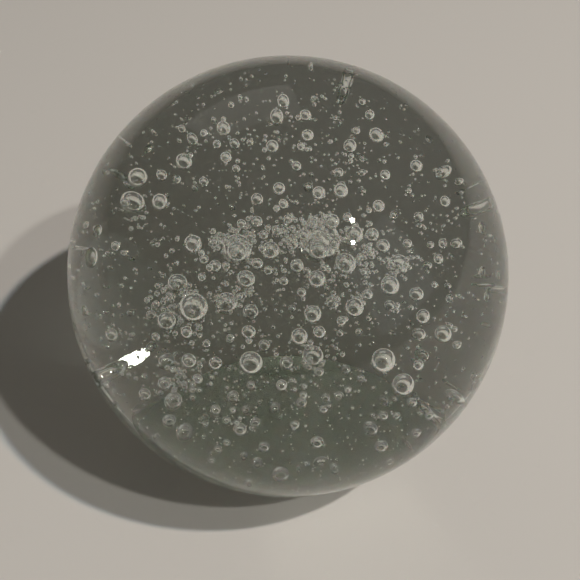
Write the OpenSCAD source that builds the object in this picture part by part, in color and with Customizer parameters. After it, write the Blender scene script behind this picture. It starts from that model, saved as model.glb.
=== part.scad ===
// Glass ball paperweight with air bubbles cast inside it.
// A solid ball of clear, faintly green glass, cut flat below on a wide foot
// so that it stands still on a desk. Hundreds of air bubbles are trapped
// in the glass: a crowd of them round the middle with heaps of little ones
// between, larger ones scattered through the ball, and small and fine ones
// everywhere else.
// Millimetres, +Z up. The origin is the centre of the ground foot, on the
// plane the ball stands on. The front of the ball faces -Y.
// Each bubble is a cavity in the glass, and the air in it is drawn as a
// separate closed solid.

/* [Ball] */
// Diameter of the ball
ball_d = 80; // [60:1:100]
// Diameter of the flat ground foot
foot_d = 42; // [36:1:46]
// Height of the narrow bevel that takes the sharp edge off the foot
bevel_h = 0.4; // [0.2:0.1:0.8]

/* [Placing the bubbles] */
// Refractive index of the glass, which shifts where a bubble is seen
glass_n = 1.5; // [1.46:0.01:1.6]
// Height of the eye above the horizon in the bubble maps
eye_angle = 47; // [30:1:60]
// Distance of the eye from the ball's centre, in ball radii
eye_dist = 4.2; // [3:0.1:8]
// Thickness of clear glass that scattered bubbles keep from the surface
clear_skin = 2.2; // [1.5:0.1:4]
// Least glass left between two scattered bubbles
wall = 0.12; // [0.1:0.01:0.5]

/* [Heaps of little bubbles] */
// Smallest bubble in a heap
heap_min = 0.4; // [0.35:0.05:0.5]
// Largest bubble in a heap
heap_max = 0.95; // [0.8:0.05:1.2]
// Half the depth of a heap, in percent of the way through the ball
heap_deep = 4; // [2:0.5:6]

/* [Scattered bubbles] */
// How many places are tried for small bubbles
small_tries = 240; // [20:5:300]
// Smallest small bubble
small_min = 0.5; // [0.4:0.05:0.7]
// Largest small bubble
small_max = 1.1; // [0.8:0.05:1.4]
// How many places are tried for fine bubbles
fine_tries = 140; // [10:5:180]
// Smallest fine bubble
fine_min = 0.32; // [0.3:0.01:0.36]
// Largest fine bubble
fine_max = 0.5; // [0.4:0.01:0.6]
// Seed of the scatter
scatter_seed = 41; // [1:1:99]

/* [Hidden] */
r_ball = ball_d / 2;
k = ball_d / 80;
z_mid = sqrt(r_ball * r_ball - foot_d * foot_d / 4);
// The lowest height, from the ball's middle, that bubbles reach: a layer of
// clear glass is left above the foot.
z_low = 1.6 * k - z_mid;

// ---- Where the maps look from ------------------------------------------
to_eye = [0, -cos(eye_angle), sin(eye_angle)];
map_right = [1, 0, 0];
map_up = [0, sin(eye_angle), cos(eye_angle)];
eye = to_eye * eye_dist * r_ball;
rim_tan = tan(asin(1 / eye_dist));

function unit(v) = v / norm(v);

// Where the line of sight through map point [x, y] enters the ball.
function entry(dir) =
  let(b = eye * dir, c = eye * eye - r_ball * r_ball)
  eye + dir * (-b - sqrt(b * b - c));

// The line of sight once it has bent into the glass.
function bent(dir, p) =
  let(nrm = unit(p), ci = -(dir * nrm), m = 1 / glass_n)
  unit(dir * m + nrm * (m * ci - sqrt(1 - m * m * (1 - ci * ci))));

// A map point gives a place in the glass: x and y are across and up as seen,
// in percent of the ball's radius, and deep is how far through the ball, or
// down to the foot, the bubble lies along the line of sight, in percent.
function placed(x, y, deep) =
  let(dir = unit(-to_eye + (map_right * x + map_up * y) * rim_tan / 100),
      p = entry(dir),
      q = bent(dir, p),
      chord = min(-2 * (p * q), (p[2] - z_low) / -q[2]))
  p + q * chord * deep / 100;

// The ball magnifies a bubble more, the deeper it lies.
function true_d(seen, deep) =
  seen / 100 * r_ball / (1.3 + 0.0045 * deep);

// Depth of bubble i of a map, spread evenly between two limits.
function depth(i, lo, hi) =
  let(g = i * 0.618) lo + (hi - lo) * (g - floor(g));

// A map becomes a list of [centre, diameter].
function from_map(rows, lo, hi) =
  [for (i = [0:len(rows) - 1])
    let(m = rows[i], t = len(m) > 3 ? m[3] : depth(i + 1, lo, hi))
    [placed(m[0], m[1], t), true_d(m[2], t)]];

// ---- Bubble maps ---------------------------------------------------------
// [across, up, width as seen], all in percent of the ball's radius, and for
// some the depth in percent of the way through.

// The crowd round the middle of the ball.
middle_map = [
  [-23, 11, 10], [-28, 16, 4.5], [-17, 18, 5], [-28, 5, 4], [-8, 12, 8.5],
  [-14, 6, 5.5], [-19, -1, 8.5], [-33, 5, 6], [14, 12, 9.5], [7, 19, 5],
  [11, 24, 5], [20, 25, 7], [21, 15, 5], [4, 5, 6.5], [30, 19, 8.5],
  [38, 19, 6.5], [26, 6, 10], [13, -1, 8.5], [16, 4, 3.5], [37, 11, 4],
  [43, 14, 6.5], [-14, 25, 5.5], [-5, 21, 5], [2, 15, 5.5], [-38, 8, 4.5],
  [0, 26, 4.5], [-21, 24, 4.5], [27, 27, 4.5], [33, 9, 4], [-2, -2, 4.5],
  [6, -7, 4.5], [-9, 3, 4.5], [-11, 19, 4.5]];

// The largest ones. The first two lie behind the crowd.
large_map = [
  [14, 16, 20.4, 63], [-23, 12.5, 14, 61],
  [-43, -14, 14, 40], [-28, -12, 10.5, 55], [43, -38, 12, 35],
  [52, -49, 11, 42], [-17, -39, 11.5, 38], [11, -36, 10.5, 60],
  [-55, -20, 9, 50], [46, -4, 9, 48], [50, 6, 8.5, 62], [30, -14, 9, 35],
  [-68, 45, 9.5, 45], [-70, 34, 9.5, 60], [-50, -3, 9, 66],
  [-43, 15, 9, 34], [11, -17, 8.5, 45], [5, -27, 8, 30], [70, -26, 8, 52],
  [-58, 34, 8, 38], [-52, -56, 8, 58]];

// Middling ones.
medium_map = [
  [-47, 52, 7.5], [40, 64, 7.5], [-17, -16, 7.5], [-45, -38, 7.5],
  [24, 39, 7], [20, -12, 6.5], [-18, -25, 7], [-55, -38, 7], [-56, -48, 6.5],
  [61, -18, 7], [-47, -70, 7], [-22, -69, 6.5], [14, 38, 6.5],
  [-1, -39, 6.5], [-33, -39, 6.5], [37, -69, 6.5], [42, -77, 6.5],
  [13, -75, 6.5], [58, -8, 6.5], [-80, -26, 6.5], [-79, -42, 6.5],
  [-29, 67, 6.5], [14, -25, 6], [59, -26, 6], [-65, -53, 6], [-46, -25, 6],
  [-14, 35, 6], [-4, 40, 6], [-5, 72, 6], [-7, 59, 6], [9, 64, 6],
  [28, 59, 6], [58, 50, 6], [41, 32, 6], [-54, -65, 6]];

// Lesser ones.
lesser_map = [
  [-57, 46, 5], [-78, 14, 5], [-24, 60, 4.5], [-28, 54, 5.5],
  [-2, 33, 4.5], [-2, 79, 5.5], [8, 73, 5.5], [25, 83, 4.5], [37, 73, 4.5],
  [31, 66, 4], [70, 47, 5], [44, 46, 5], [48, 28, 4], [59, 27, 4.5],
  [71, 34, 5.5], [83, 30, 5], [54, 15, 4.5], [70, 15, 5], [76, 15, 4.5],
  [68, 8, 5], [63, 5, 3.5], [-11, -31, 5.5], [-41, -46, 5], [-25, -54, 5.5],
  [-33, -60, 5], [-28, -65, 4.5], [-15, -66, 5], [-3, -49, 5.5],
  [-6, -59, 4.5], [-11, -77, 5], [-35, -83, 4.5], [-14, -84, 4.5],
  [24, -20, 4.5], [32, -25, 3.5], [56, -57, 4.5], [59, -40, 5.5],
  [46, -13, 5], [36, -8, 5], [73, -10, 4.5], [75, -54, 5], [64, -63, 5],
  [69, -67, 4], [43, -63, 4.5], [49, -63, 4], [21, -87, 4], [58, -71, 5],
  [23, -54, 4.5], [6, -57, 5], [3, -67, 4.5], [26, -42, 4.5],
  [46, -84, 4.5], [27, -51, 3.5], [17, -55, 4], [16, -60, 4], [43, -56, 4],
  [33, -46, 3.5], [-38, 65, 4], [-43, 62, 4.5], [-32, 60, 4], [-50, 44, 4],
  [-38, 43, 4.5], [-37, -30, 4], [-19, -60, 4], [-17, -49, 4],
  [-28, -75, 4], [-20, -81, 3.5], [-32, -78, 4], [-38, -67, 3.5],
  [4, 50, 4.5], [6, 59, 4], [23, 47, 4.5], [14, -43, 4.5], [-60, -27, 4.5],
  [-62, -17, 4.5], [-39, 0, 4]];

// Those that lie just under the surface.
skin_map = [
  [-89, 9, 10.5, 10], [-86, 21, 6.5, 12], [-92, -15, 5.5, 12],
  [88, 22, 6.5, 12], [88, 2, 6, 14], [95, 1, 5, 20], [90, -9, 5.5, 12],
  [15, -84, 8, 10], [-63, 58, 5, 6], [64, 62, 5, 6], [-31, 84, 5, 7]];

// The one low at the front, by the edge of the ball.
front_map = [[-3.5, -89.5, 8, 54]];

middle_set = from_map(middle_map, 41, 54);
large_set = from_map(large_map, 30, 65);
medium_set = from_map(medium_map, 22, 76);
lesser_set = from_map(lesser_map, 14, 84);
skin_set = from_map(skin_map, 10, 12);
front_set = from_map(front_map, 54, 54);
mapped = concat(middle_set, large_set, medium_set, lesser_set, skin_set,
                front_set);

// ---- Heaps of little bubbles ----------------------------------------------
// [across, up, half the width, half the height, depth] in percent, as in the
// maps above, and then how many places are tried.
heap_map = [
  [-23, 17, 10, 9, 48, 34], [3, 21, 7, 7, 46, 22], [14, 19, 10, 9, 50, 44],
  [32, 18, 8, 6, 47, 16], [50, 2, 6, 5, 52, 12], [-52, -9, 9, 8, 54, 16],
  [-45, -22, 8, 6, 46, 10], [12, -34, 7, 6, 50, 9], [-24, -10, 9, 6, 52, 10],
  [27, -12, 8, 5, 50, 9], [-48, -46, 8, 7, 56, 10], [36, 5, 6, 5, 44, 7]];

function heap(h, seed) =
  let(n = h[5], a = rands(0, 360, n, seed), u = rands(0, 1, n, seed + 1),
      w = rands(0, 1, n, seed + 2), t = rands(-1, 1, n, seed + 3))
  [for (i = [0:n - 1])
    let(s = sqrt(u[i]))
    [placed(h[0] + h[2] * s * cos(a[i]), h[1] + h[3] * s * sin(a[i]),
            h[4] + heap_deep * t[i]),
     (heap_min + (heap_max - heap_min) * w[i] * w[i]) * k]];

heap_places = [for (i = [0:len(heap_map) - 1])
  each heap(heap_map[i], scatter_seed + 7 * i)];

// ---- Scattered bubbles ---------------------------------------------------
// Candidate places, crowded a little towards the middle.
function scatter(n, d_lo, d_hi, seed) =
  let(a = rands(0, 360, n, seed), h = rands(-1, 1, n, seed + 1),
      u = rands(0, 1, n, seed + 2), w = rands(0, 1, n, seed + 3))
  [for (i = [0:n - 1])
    let(s = sqrt(1 - h[i] * h[i]),
        rr = (r_ball - clear_skin * k - d_hi * k / 2) * pow(u[i], 0.42))
    [[s * cos(a[i]), s * sin(a[i]), h[i]] * rr,
     (d_lo + (d_hi - d_lo) * w[i] * w[i]) * k]];

function free(c, others) =
  c[0][2] - c[1] / 2 > z_low &&
  len([for (o = others)
    if (norm(c[0] - o[0]) < (c[1] + o[1]) / 2 + wall * k) 1]) == 0;

// Keeps the candidates that touch nothing placed before them.
function keep(cands, i, fixed, got) =
  i >= len(cands) ? got :
  keep(cands, i + 1, fixed,
       free(cands[i], fixed) && free(cands[i], got)
         ? concat(got, [cands[i]]) : got);

heap_set = keep(heap_places, 0, mapped, []);
heaped = concat(mapped, heap_set);
small_set = keep(scatter(small_tries, small_min, small_max, scatter_seed), 0,
                 heaped, []);
fine_set = keep(scatter(fine_tries, fine_min, fine_max, scatter_seed + 20), 0,
                concat(heaped, small_set), []);
every = concat(heaped, small_set, fine_set);

// ---- The pieces ----------------------------------------------------------
module balls(set) {
  for (b = set)
    translate(b[0] + [0, 0, z_mid]) sphere(d = b[1], $fn = 20);
}

// Ball with its ground foot and a narrow bevel round it.
module ball_blank() {
  z_bev = bevel_h;
  r_top = sqrt(r_ball * r_ball - (z_mid - z_bev) * (z_mid - z_bev));
  intersection() {
    translate([0, 0, z_mid]) sphere(r = r_ball, $fn = 180);
    union() {
      cylinder(h = z_bev, r1 = foot_d / 2 - z_bev, r2 = r_top, $fn = 180);
      translate([0, 0, z_bev]) cylinder(h = ball_d, r = r_ball + 1, $fn = 96);
    }
  }
}

module glass_ball() {
  color([0.62, 0.68, 0.62, 0.35])
    difference() {
      ball_blank();
      balls(every);
    }
}

module air(set) {
  color([0.92, 0.96, 0.97, 0.6]) balls(set);
}

module middle_bubbles() { air(middle_set); }
module large_bubbles() { air(large_set); }
module medium_bubbles() { air(medium_set); }
module lesser_bubbles() { air(lesser_set); }
module heaped_bubbles() { air(heap_set); }
module skin_bubbles() { air(skin_set); }
module front_bubble() { air(front_set); }
module small_bubbles() { air(small_set); }
module fine_bubbles() { air(fine_set); }

glass_ball();
middle_bubbles();
large_bubbles();
medium_bubbles();
lesser_bubbles();
heaped_bubbles();
small_bubbles();
fine_bubbles();
skin_bubbles();
front_bubble();
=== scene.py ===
import math

import bmesh
import bpy
import numpy as np
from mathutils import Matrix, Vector


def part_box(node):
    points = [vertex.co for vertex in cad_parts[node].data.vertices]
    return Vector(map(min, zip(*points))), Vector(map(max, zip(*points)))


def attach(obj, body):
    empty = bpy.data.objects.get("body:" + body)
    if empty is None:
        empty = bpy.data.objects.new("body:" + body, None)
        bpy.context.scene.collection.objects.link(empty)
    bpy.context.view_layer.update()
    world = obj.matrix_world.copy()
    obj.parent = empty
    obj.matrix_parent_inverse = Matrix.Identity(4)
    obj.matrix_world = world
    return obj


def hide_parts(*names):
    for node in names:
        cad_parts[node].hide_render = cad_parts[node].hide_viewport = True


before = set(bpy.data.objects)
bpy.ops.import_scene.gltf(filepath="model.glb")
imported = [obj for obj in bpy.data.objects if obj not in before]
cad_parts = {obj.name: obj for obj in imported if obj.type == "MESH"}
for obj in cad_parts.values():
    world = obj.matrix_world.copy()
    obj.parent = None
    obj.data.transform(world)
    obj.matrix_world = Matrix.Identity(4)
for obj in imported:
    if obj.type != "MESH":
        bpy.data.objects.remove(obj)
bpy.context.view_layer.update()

BUBBLE_NODES = [
    "middle_bubbles",
    "large_bubbles",
    "medium_bubbles",
    "lesser_bubbles",
    "heaped_bubbles",
    "small_bubbles",
    "fine_bubbles",
    "skin_bubbles",
    "front_bubble",
]


# ---------------------------------------------------------------- frame sizes
def mesh_arrays(ob):
    me = ob.data
    co = np.empty(len(me.vertices) * 3, np.float64)
    me.vertices.foreach_get("co", co)
    ed = np.empty(len(me.edges) * 2, np.int64)
    me.edges.foreach_get("vertices", ed)
    return co.reshape(-1, 3), ed.reshape(-1, 2)


def bubbles_of(node):
    """Centre and radius of each separate ball in a CAD node."""
    co, ed = mesh_arrays(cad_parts[node])
    keys, inv = np.unique(np.round(co * 1e7).astype(np.int64), axis=0, return_inverse=True)
    inv = inv.reshape(-1)
    ed = inv[ed]
    lab = np.arange(len(keys))
    while True:
        low = np.minimum(lab[ed[:, 0]], lab[ed[:, 1]])
        new = lab.copy()
        np.minimum.at(new, ed[:, 0], low)
        np.minimum.at(new, ed[:, 1], low)
        new = new[new]
        if (new == lab).all():
            break
        lab = new
    pts = keys / 1e7
    out = []
    for c in np.unique(lab):
        p = pts[lab == c]
        lo, hi = p.min(0), p.max(0)
        out.append(((lo + hi) / 2, float((hi - lo).max() / 2)))
    out.sort(key=lambda b: tuple(np.round(b[0], 6)))
    return out


ball_lo, ball_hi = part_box("glass_ball")
R = (ball_hi.x - ball_lo.x) / 2
TOP = ball_hi.z
MID = Vector((0, 0, TOP - R))
bubbles = {n: bubbles_of(n) for n in BUBBLE_NODES}


# ------------------------------------------------------------------ materials
def new_mat(name):
    m = bpy.data.materials.new(name)
    m.use_nodes = True
    nt = m.node_tree
    for n in list(nt.nodes):
        nt.nodes.remove(n)
    return m, nt


def node(nt, kind, **kw):
    n = nt.nodes.new(kind)
    for k, v in kw.items():
        if k == "inputs":
            for i, val in v.items():
                n.inputs[i].default_value = val
        else:
            setattr(n, k, v)
    return n


def glass_material():
    m, nt = new_mat("ball_glass")
    out = node(nt, "ShaderNodeOutputMaterial")
    p = node(nt, "ShaderNodeBsdfPrincipled")
    p.inputs["Base Color"].default_value = (0.99, 1.0, 0.99, 1)
    # a film of dust and finger grease takes a little of the light
    p.inputs["Transmission Weight"].default_value = 0.982
    p.inputs["IOR"].default_value = 1.5
    nt.links.new(p.outputs["BSDF"], out.inputs["Surface"])
    tc = node(nt, "ShaderNodeTexCoord")
    # faint handling marks: patches where the polish is a touch duller
    n1 = node(nt, "ShaderNodeTexNoise", inputs={"Scale": 55.0, "Detail": 3.0, "Roughness": 0.55})
    nt.links.new(tc.outputs["Object"], n1.inputs["Vector"])
    r1 = node(nt, "ShaderNodeMapRange", inputs={"From Min": 0.6, "From Max": 0.78, "To Min": 0.0, "To Max": 0.03})
    nt.links.new(n1.outputs["Fac"], r1.inputs["Value"])
    # the foot is scuffed by the desks it has stood on
    sep = node(nt, "ShaderNodeSeparateXYZ")
    nt.links.new(tc.outputs["Object"], sep.inputs["Vector"])
    foot = node(nt, "ShaderNodeMapRange", inputs={"From Min": 0.0001, "From Max": 0.0005, "To Min": 1.0, "To Max": 0.0})
    nt.links.new(sep.outputs["Z"], foot.inputs["Value"])
    n2 = node(nt, "ShaderNodeTexNoise", inputs={"Scale": 240.0, "Detail": 5.0, "Roughness": 0.6})
    nt.links.new(tc.outputs["Object"], n2.inputs["Vector"])
    r2 = node(nt, "ShaderNodeMapRange", inputs={"From Min": 0.35, "From Max": 0.7, "To Min": FOOT_R0, "To Max": FOOT_R1})
    nt.links.new(n2.outputs["Fac"], r2.inputs["Value"])
    fm = node(nt, "ShaderNodeMath", operation="MULTIPLY")
    nt.links.new(foot.outputs["Result"], fm.inputs[0])
    nt.links.new(r2.outputs["Result"], fm.inputs[1])
    mx = node(nt, "ShaderNodeMath", operation="MAXIMUM")
    nt.links.new(r1.outputs["Result"], mx.inputs[0])
    nt.links.new(fm.outputs["Value"], mx.inputs[1])
    nt.links.new(mx.outputs["Value"], p.inputs["Roughness"])
    # hand-finished glass isn't perfectly true: very slow, shallow waves
    n3 = node(nt, "ShaderNodeTexNoise", inputs={"Scale": 38.0, "Detail": 1.0, "Roughness": 0.4})
    nt.links.new(tc.outputs["Object"], n3.inputs["Vector"])
    bp = node(nt, "ShaderNodeBump", inputs={"Strength": 0.5, "Distance": 0.00012})
    nt.links.new(n3.outputs["Fac"], bp.inputs["Height"])
    nt.links.new(bp.outputs["Normal"], p.inputs["Normal"])
    vol = node(nt, "ShaderNodeVolumeAbsorption")
    vol.inputs["Color"].default_value = (0.71, 0.79, 0.65, 1)
    vol.inputs["Density"].default_value = 6.0
    nt.links.new(vol.outputs["Volume"], out.inputs["Volume"])
    return m


def bubble_material():
    m, nt = new_mat("bubble_wall")
    out = node(nt, "ShaderNodeOutputMaterial")
    p = node(nt, "ShaderNodeBsdfPrincipled")
    p.inputs["Base Color"].default_value = (1, 1, 1, 1)
    p.inputs["Transmission Weight"].default_value = 1.0
    p.inputs["IOR"].default_value = 1.5
    p.inputs["Roughness"].default_value = 0.0
    nt.links.new(p.outputs["BSDF"], out.inputs["Surface"])
    tc = node(nt, "ShaderNodeTexCoord")
    # the wall froze with faint ripples in it
    n1 = node(nt, "ShaderNodeTexNoise", inputs={"Scale": 1100.0, "Detail": 2.0, "Roughness": 0.5, "Distortion": 0.6})
    nt.links.new(tc.outputs["Object"], n1.inputs["Vector"])
    bp = node(nt, "ShaderNodeBump", inputs={"Strength": 0.5, "Distance": 0.00003})
    nt.links.new(n1.outputs["Fac"], bp.inputs["Height"])
    nt.links.new(bp.outputs["Normal"], p.inputs["Normal"])
    return m


FOOT_R0, FOOT_R1 = 0.10, 0.24
GLASS = glass_material()
WALL = bubble_material()


# --------------------------------------------------------------------- pieces
def from_arrays(name, verts, faces, mat, smooth=True):
    me = bpy.data.meshes.new(name)
    me.from_pydata([tuple(v) for v in verts], [], [tuple(f) for f in faces])
    me.update()
    if smooth:
        me.polygons.foreach_set("use_smooth", [True] * len(me.polygons))
    me.materials.append(mat)
    ob = bpy.data.objects.new(name, me)
    bpy.context.scene.collection.objects.link(ob)
    return ob


def lathe(name, profile, segs, mat):
    """Turns a profile [(r, z), ...] from the foot's middle to the top."""
    rings = profile[1:-1]
    verts = [(0, 0, profile[0][1])]
    for r, z in rings:
        for s in range(segs):
            a = 2 * math.pi * s / segs
            verts.append((r * math.cos(a), r * math.sin(a), z))
    verts.append((0, 0, profile[-1][1]))
    top = len(verts) - 1
    faces = []
    for s in range(segs):
        faces.append((0, 1 + (s + 1) % segs, 1 + s))
    for i in range(len(rings) - 1):
        a0, b0 = 1 + i * segs, 1 + (i + 1) * segs
        for s in range(segs):
            t = (s + 1) % segs
            faces.append((a0 + s, a0 + t, b0 + t, b0 + s))
    last = 1 + (len(rings) - 1) * segs
    for s in range(segs):
        faces.append((last + s, last + (s + 1) % segs, top))
    return from_arrays(name, verts, faces, mat)


def ball_profile():
    zc = MID.z
    zb = 0.00040  # height of the bevel
    r_foot = math.sqrt(R * R - zc * zc) - 0.00042
    r_top = math.sqrt(R * R - (zc - zb) ** 2)
    prof = [(0, 0.0)] + [(r_foot * f, 0.0) for f in (0.12, 0.25, 0.4, 0.55, 0.7, 0.85, 0.95, 1.0)]
    prof += [(r_foot + 0.0003, 0.00008), (r_foot + 0.0007, 0.00022)]
    foot_ring, bevel_ring = 8, 11  # rings with an edge
    prof.append((r_top, zb))
    a0 = math.acos((zc - zb) / R)  # angle from straight down
    n = 168
    for i in range(1, n):
        a = a0 + (math.pi - a0) * i / n
        prof.append((R * math.sin(a), zc - R * math.cos(a)))
    prof.append((0, zc + R))
    return prof, (foot_ring, bevel_ring)


profile, edge_rings = ball_profile()
SEGS = 288
ball = lathe("glass_ball_body", profile, SEGS, GLASS)
flat = [v.co.z < 1e-7 for v in ball.data.vertices]
for p in ball.data.polygons:
    p.use_smooth = not all(flat[i] for i in p.vertices)
ring_of = lambda v: 0 if v == 0 else (v - 1) // SEGS + 1
for e in ball.data.edges:
    a, b = ring_of(e.vertices[0]), ring_of(e.vertices[1])
    if a == b and a in edge_rings:
        e.use_edge_sharp = True
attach(ball, "root")
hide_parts("glass_ball")


def ico(level):
    bm = bmesh.new()
    bmesh.ops.create_icosphere(bm, subdivisions=level, radius=1.0)
    v = np.array([x.co[:] for x in bm.verts])
    f = np.array([[x.index for x in fc.verts] for fc in bm.faces])
    bm.free()
    return v, f[:, ::-1]  # the wall of a bubble faces into the bubble


ICO = {i: ico(i) for i in (2, 3, 4, 5)}


def bubble_group(name, items, rng):
    vs, fs, base = [], [], 0
    for c, r in items:
        lvl = 5 if r > 0.0010 else 4 if r > 0.0004 else 3 if r > 0.00025 else 2
        v, f = ICO[lvl]
        # a real bubble is a little drawn out one way
        ax = rng.normal(size=3)
        ax /= np.linalg.norm(ax)
        e = rng.uniform(-0.05, 0.06)
        w = v + np.outer(v @ ax, ax) * e
        # and very slightly lopsided
        bx = rng.normal(size=3)
        bx /= np.linalg.norm(bx)
        w = w * (1 + rng.uniform(0, 0.02) * (v @ bx))[:, None]
        vs.append(w * r + c)
        fs.append(f + base)
        base += len(v)
    ob = from_arrays(name, np.concatenate(vs), np.concatenate(fs), WALL)
    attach(ob, "root")
    return ob


rng = np.random.default_rng(762)
taken = []
for n in BUBBLE_NODES:
    ob = bubble_group("air_" + n, bubbles[n], rng)
    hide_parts(n)
    taken += bubbles[n]

# fine seed, too small for the solids
tc = np.array([c for c, r in taken])
tr = np.array([r for c, r in taken])


def grow(name, count, r_lo, r_hi, around):
    """Adds seed, loose in the glass or crowded round given bubbles."""
    global tc, tr
    out = []
    tries = 0
    while len(out) < count and tries < 60000:
        tries += 1
        d = rng.normal(size=3)
        d /= np.linalg.norm(d)
        r = r_lo + (r_hi - r_lo) * rng.uniform() ** 1.7
        if around:
            c0, r0 = around[int(rng.integers(len(around)))]
            p = c0 + d * (r0 + r + 0.00004 + 0.0011 * rng.uniform() ** 1.5)
        else:
            p = np.array(MID) + d * (R - 0.0018) * rng.uniform() ** 0.42
        if p[2] < 0.0015 or np.linalg.norm(p - np.array(MID)) > R - 0.0012:
            continue
        if (np.linalg.norm(tc - p, axis=1) < tr + r + 0.00003).any():
            continue
        out.append((p, r))
        tc = np.vstack([tc, p])
        tr = np.append(tr, r)
    ob = bubble_group(name, out, rng)


grow("air_seed", 2200, 0.00008, 0.00021, None)
grow("air_seed_coarse", 560, 0.00018, 0.00036, None)
grow("air_seed_heaps", 300, 0.00018, 0.00042, bubbles["heaped_bubbles"])
grow("air_seed_strays", 600, 0.00010, 0.00026, bubbles["small_bubbles"] + bubbles["lesser_bubbles"])

# ---------------------------------------------------------------------- stage
def floor_material():
    m, nt = new_mat("floor_plain")
    out = node(nt, "ShaderNodeOutputMaterial")
    p = node(nt, "ShaderNodeBsdfPrincipled")
    p.inputs["Base Color"].default_value = (0.56, 0.535, 0.49, 1)
    p.inputs["Roughness"].default_value = 0.9
    p.inputs["Specular IOR Level"].default_value = 0.2
    nt.links.new(p.outputs["BSDF"], out.inputs["Surface"])
    return m


floor = from_arrays(
    "floor", [(-4, -4, 0), (4, -4, 0), (4, 4, 0), (-4, 4, 0)], [(0, 1, 2, 3)], floor_material(), smooth=False
)
floor.location.z = -0.00002

# --------------------------------------------------------------------- camera
EL = math.radians(47.0)
DIST = 4.2 * R
F_PX = 901.6
cam_data = bpy.data.cameras.new("cam")
cam_data.sensor_fit = "HORIZONTAL"
cam_data.sensor_width = 36.0
cam_data.lens = 36.0 * F_PX / 580.0
cam_data.clip_start = 0.005
cam_data.clip_end = 30.0
cam = bpy.data.objects.new("cam", cam_data)
bpy.context.scene.collection.objects.link(cam)
cam.location = MID + Vector((0, -math.cos(EL), math.sin(EL))) * DIST
# the ball's centre is 2 px left of and 13 px above the middle of the frame
fwd = Vector((0, math.cos(EL), -math.sin(EL)))
up = Vector((0, math.sin(EL), math.cos(EL)))
aim = fwd + Vector((1, 0, 0)) * (2 / F_PX) - up * (13 / F_PX)
cam.rotation_euler = aim.to_track_quat("-Z", "Y").to_euler()
bpy.context.scene.camera = cam


# --------------------------------------------------------------------- lights
def area(name, direction, dist, size, power, color=(1, 1, 1), target=None):
    ld = bpy.data.lights.new(name, "AREA")
    ld.shape = "DISK"
    ld.size = size
    ld.energy = power
    ld.color = color
    ob = bpy.data.objects.new(name, ld)
    bpy.context.scene.collection.objects.link(ob)
    t = Vector(target) if target else MID
    d = Vector(direction).normalized()
    ob.location = t + d * dist
    ob.rotation_euler = (-d).to_track_quat("-Z", "Y").to_euler()
    return ob


# A hard main light split into three colours a fraction of a degree apart, so
# that what the glass throws back breaks into colours as dispersion makes it,
# and a weaker second light, which doubles the highlight and the shadow's edge.
KEY = Vector((0.488, -0.202, 0.849)).normalized()
FILL = Vector((0.504, -0.366, 0.782)).normalized()
side = KEY.cross(Vector((0, 0, 1))).normalized()
over = side.cross(KEY).normalized()
SPLIT = math.radians(0.3)
for name, col, k in (
    ("key_red", (1.0, 0.40, 0.30), -1),
    ("key_green", (0.42, 0.80, 0.42), 0),
    ("key_blue", (0.38, 0.50, 0.95), 1),
):
    area(name, KEY + (side * 0.8 + over * 0.6) * (k * SPLIT), 1.5, 0.042, 6.6, col)
area("second", FILL, 1.5, 0.044, 4.9, (1.0, 0.99, 0.96))
# wider, weaker discs behind both, which the bubbles pick up as sparkle
area("key_halo", KEY, 1.55, 0.07, 1.6, (1.0, 0.99, 0.97))
area("second_halo", FILL, 1.55, 0.065, 1.0, (1.0, 0.99, 0.97))


def softbox(name, direction, dist, w, h, radiance, color):
    ob = area(name, direction, dist, w, 1.0, color)
    ob.data.shape = "RECTANGLE"
    ob.data.size = w
    ob.data.size_y = h
    ob.data.energy = radiance * math.pi * math.pi * w * h / 4 * 1.273
    return ob


softbox("window", (0.80, -0.45, 0.50), 2.0, 1.3, 1.5, 0.34, (0.93, 0.97, 1.0))
softbox("ceiling", (-0.25, 0.75, 0.62), 2.2, 1.4, 1.0, 0.30, (1.0, 0.96, 0.90))

world = bpy.data.worlds.new("world")
bpy.context.scene.world = world
world.use_nodes = True
bg = world.node_tree.nodes["Background"]
bg.inputs["Color"].default_value = (1.0, 0.95, 0.87, 1)
bg.inputs["Strength"].default_value = 0.10

sc = bpy.context.scene
sc.view_settings.view_transform = "Standard"
sc.view_settings.look = "None"
sc.cycles.max_bounces = 24
sc.cycles.transmission_bounces = 24
sc.cycles.glossy_bounces = 16
sc.cycles.diffuse_bounces = 3
sc.cycles.volume_bounces = 0
sc.cycles.sample_clamp_indirect = 40.0
sc.cycles.caustics_refractive = True
sc.cycles.caustics_reflective = True
sc.cycles.blur_glossy = 0.0
